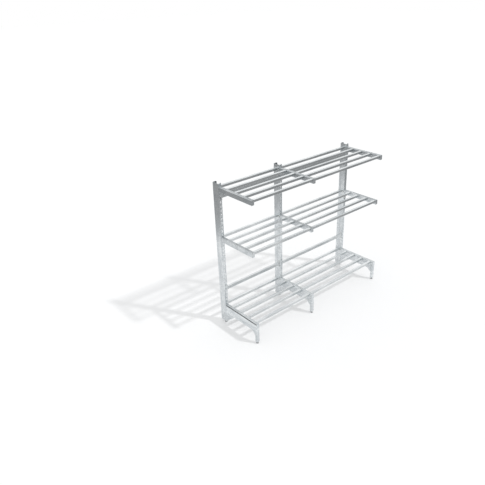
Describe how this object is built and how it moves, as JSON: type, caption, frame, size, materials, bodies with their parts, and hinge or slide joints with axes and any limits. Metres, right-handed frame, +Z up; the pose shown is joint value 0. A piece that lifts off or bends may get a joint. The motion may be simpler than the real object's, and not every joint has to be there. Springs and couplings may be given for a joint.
{
  "type": "tyre storage rack",
  "caption": "Free-standing single-sided rack of galvanised steel, with slotted uprights, hooked arms and levels of square bars that carry standing tyres.",
  "frame": {"origin": "on the floor, at the middle of the rack's length and of its depth", "axes": "+X along the rack from the narrow bay to the wide bay, -Y towards the front where tyres go in, +Z up"},
  "size_m": [2.1475, 0.666, 1.8],
  "materials": {
    "galvanised_uprights": "hot-dip galvanised, fine spangle",
    "galvanised_base": "hot-dip galvanised, fine spangle",
    "galvanised_arms": "hot-dip galvanised, fine spangle",
    "galvanised_bars": "galvanised tube, smooth",
    "galvanised_beams": "galvanised tube, smooth",
    "zinc_plated_fasteners": "bright zinc plate",
    "foot_plastic": "light grey, moulded, fine texture"
  },
  "bodies": {
    "rack": {"arm_lock_screws": "zinc_plated_fasteners", "bar_base_left_1": "galvanised_bars", "bar_base_left_2": "galvanised_bars", "bar_base_left_3": "galvanised_bars", "bar_base_left_4": "galvanised_bars", "bar_base_left_5": "galvanised_bars", "bar_base_right_1": "galvanised_bars", "bar_base_right_2": "galvanised_bars", "bar_base_right_3": "galvanised_bars", "bar_base_right_4": "galvanised_bars", "bar_base_right_5": "galvanised_bars", "bar_middle_left_1": "galvanised_bars", "bar_middle_left_2": "galvanised_bars", "bar_middle_left_3": "galvanised_bars", "bar_middle_left_4": "galvanised_bars", "bar_middle_left_5": "galvanised_bars", "bar_middle_right_1": "galvanised_bars", "bar_middle_right_2": "galvanised_bars", "bar_middle_right_3": "galvanised_bars", "bar_middle_right_4": "galvanised_bars", "bar_middle_right_5": "galvanised_bars", "bar_screws": "zinc_plated_fasteners", "bar_top_left_1": "galvanised_bars", "bar_top_left_2": "galvanised_bars", "bar_top_left_3": "galvanised_bars", "bar_top_left_4": "galvanised_bars", "bar_top_left_5": "galvanised_bars", "bar_top_right_1": "galvanised_bars", "bar_top_right_2": "galvanised_bars", "bar_top_right_3": "galvanised_bars", "bar_top_right_4": "galvanised_bars", "bar_top_right_5": "galvanised_bars", "base_bolts": "zinc_plated_fasteners", "base_foot_left": "galvanised_base", "base_foot_middle": "galvanised_base", "base_foot_right": "galvanised_base", "front_leg_left": "galvanised_base", "front_leg_middle": "galvanised_base", "front_leg_right": "galvanised_base", "middle_arm_left": "galvanised_arms", "middle_arm_middle": "galvanised_arms", "middle_arm_right": "galvanised_arms", "rear_beam_lower_left": "galvanised_beams", "rear_beam_lower_right": "galvanised_beams", "rear_beam_upper_left": "galvanised_beams", "rear_beam_upper_right": "galvanised_beams", "side_bolts": "zinc_plated_fasteners", "top_arm_left": "galvanised_arms", "top_arm_middle": "galvanised_arms", "top_arm_right": "galvanised_arms", "upright_left": "galvanised_uprights", "upright_middle": "galvanised_uprights", "upright_right": "galvanised_uprights"},
    "front_foot_left_leveller": {"front_foot_left": "foot_plastic"},
    "front_foot_middle_leveller": {"front_foot_middle": "foot_plastic"},
    "front_foot_right_leveller": {"front_foot_right": "foot_plastic"},
    "rear_foot_left_leveller": {"rear_foot_left": "foot_plastic"},
    "rear_foot_middle_leveller": {"rear_foot_middle": "foot_plastic"},
    "rear_foot_right_leveller": {"rear_foot_right": "foot_plastic"}
  },
  "joints": [
    {"name": "front_foot_left_screw", "type": "slide", "parent": "rack", "child": "front_foot_left_leveller", "axis": [0, 0, -1], "range_m": [0, 0.015]},
    {"name": "front_foot_middle_screw", "type": "slide", "parent": "rack", "child": "front_foot_middle_leveller", "axis": [0, 0, -1], "range_m": [0, 0.015]},
    {"name": "front_foot_right_screw", "type": "slide", "parent": "rack", "child": "front_foot_right_leveller", "axis": [0, 0, -1], "range_m": [0, 0.015]},
    {"name": "rear_foot_left_screw", "type": "slide", "parent": "rack", "child": "rear_foot_left_leveller", "axis": [0, 0, -1], "range_m": [0, 0.015]},
    {"name": "rear_foot_middle_screw", "type": "slide", "parent": "rack", "child": "rear_foot_middle_leveller", "axis": [0, 0, -1], "range_m": [0, 0.015]},
    {"name": "rear_foot_right_screw", "type": "slide", "parent": "rack", "child": "rear_foot_right_leveller", "axis": [0, 0, -1], "range_m": [0, 0.015]}
  ]
}
